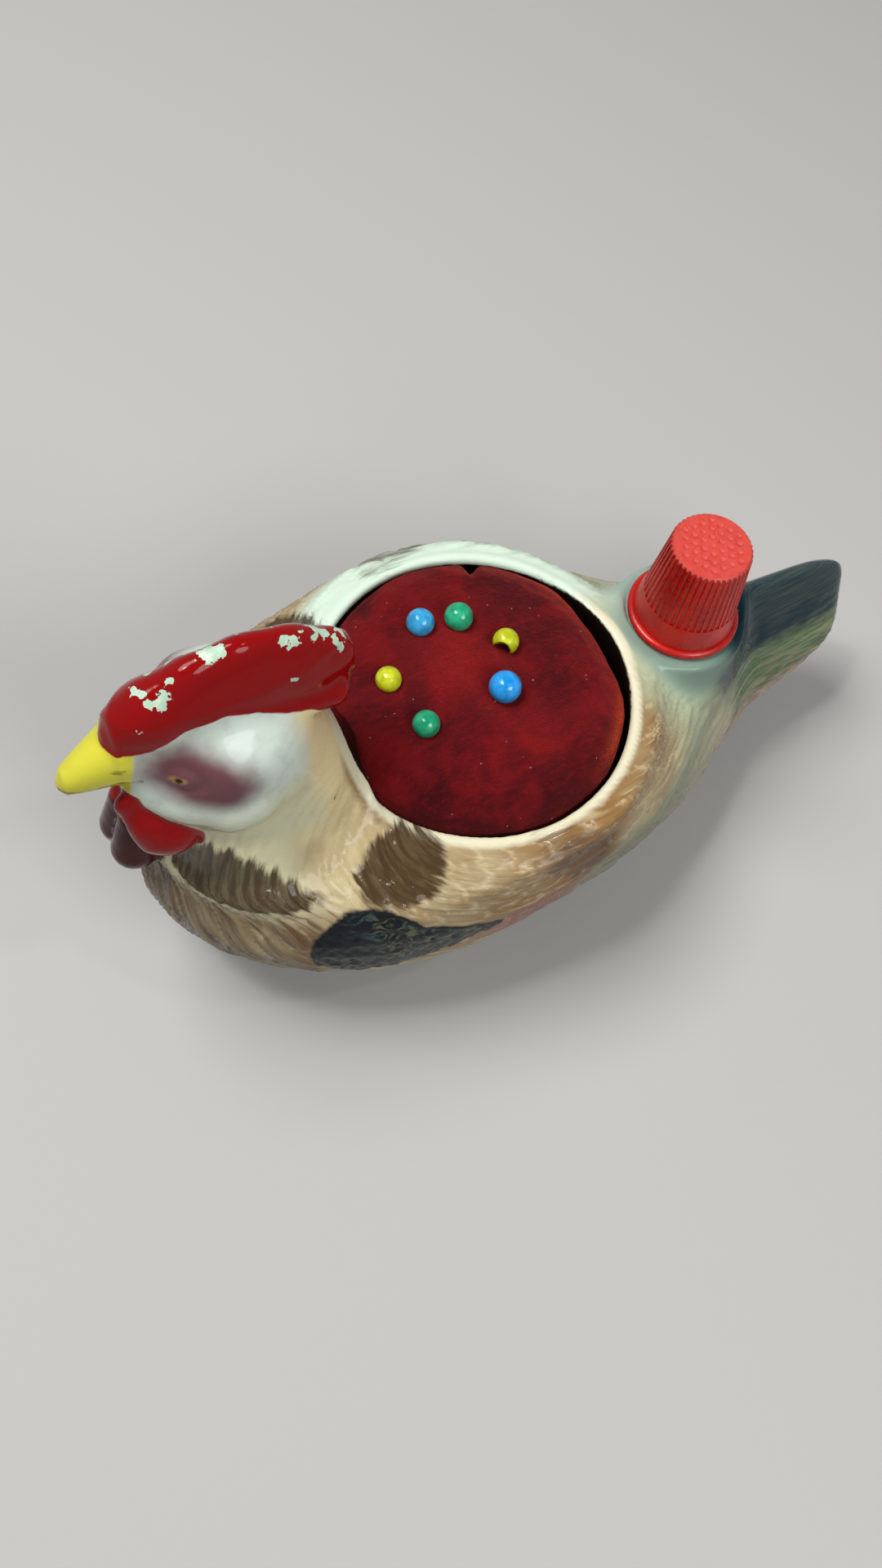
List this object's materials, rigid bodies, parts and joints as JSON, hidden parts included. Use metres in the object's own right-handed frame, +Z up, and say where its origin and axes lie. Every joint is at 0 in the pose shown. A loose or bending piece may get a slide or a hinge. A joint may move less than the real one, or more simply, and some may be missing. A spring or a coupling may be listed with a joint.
{
  "type": "ceramic pincushion",
  "caption": "Glazed ceramic hen with a velvet pincushion set in its back, ball-head pins and a loose plastic thimble on a post before the tail.",
  "frame": {"origin": "middle of the flat foot, on the table", "axes": "+X from the hen's beak to its tail, +Z up, the hen's left flank towards -Y"},
  "size_m": [0.1431, 0.0654, 0.0813],
  "materials": {
    "painted_glaze": "gloss glaze over hand-painted colours, cold-painted red comb and wattles",
    "velvet": "worn crimson cotton velvet",
    "stuffing": "packed cotton stuffing",
    "card": "plain grey-brown board",
    "thread": "waxed cotton thread",
    "red_plastic": "gloss moulded",
    "light_blue_plastic": "gloss",
    "green_plastic": "gloss",
    "yellow_plastic": "gloss",
    "blue_plastic": "gloss",
    "pin_steel": "nickel-plated, bright"
  },
  "bodies": {
    "hen": {"ceramic_hen": "painted_glaze", "cushion_cover": "velvet", "cushion_filling": "stuffing", "cushion_card": "card", "gathering_thread": "thread"},
    "thimble": {"thimble": "red_plastic"},
    "pin_1": {"pin_head_1": "light_blue_plastic", "pin_shaft_1": "pin_steel"},
    "pin_2": {"pin_head_2": "green_plastic", "pin_shaft_2": "pin_steel"},
    "pin_3": {"pin_head_3": "yellow_plastic", "pin_shaft_3": "pin_steel"},
    "pin_4": {"pin_head_4": "yellow_plastic", "pin_shaft_4": "pin_steel"},
    "pin_5": {"pin_head_5": "blue_plastic", "pin_shaft_5": "pin_steel"},
    "pin_6": {"pin_head_6": "green_plastic", "pin_shaft_6": "pin_steel"}
  },
  "joints": [
    {"name": "thimble_lift", "type": "slide", "parent": "hen", "child": "thimble", "axis": [0, 0, 1], "range_m": [0, 0.025]},
    {"name": "pin_1_pull", "type": "slide", "parent": "hen", "child": "pin_1", "axis": [0.087, -0.0523, 0.9948], "range_m": [0, 0.03]},
    {"name": "pin_2_pull", "type": "slide", "parent": "hen", "child": "pin_2", "axis": [0.0522, 0.0698, 0.9962], "range_m": [0, 0.03]},
    {"name": "pin_3_pull", "type": "slide", "parent": "hen", "child": "pin_3", "axis": [-0.0869, -0.0698, 0.9938], "range_m": [0, 0.03]},
    {"name": "pin_4_pull", "type": "slide", "parent": "hen", "child": "pin_4", "axis": [-0.0697, 0.0523, 0.9962], "range_m": [0, 0.03]},
    {"name": "pin_5_pull", "type": "slide", "parent": "hen", "child": "pin_5", "axis": [0.0349, -0.0349, 0.9988], "range_m": [0, 0.03]},
    {"name": "pin_6_pull", "type": "slide", "parent": "hen", "child": "pin_6", "axis": [0.0521, 0.0872, 0.9948], "range_m": [0, 0.03]}
  ]
}
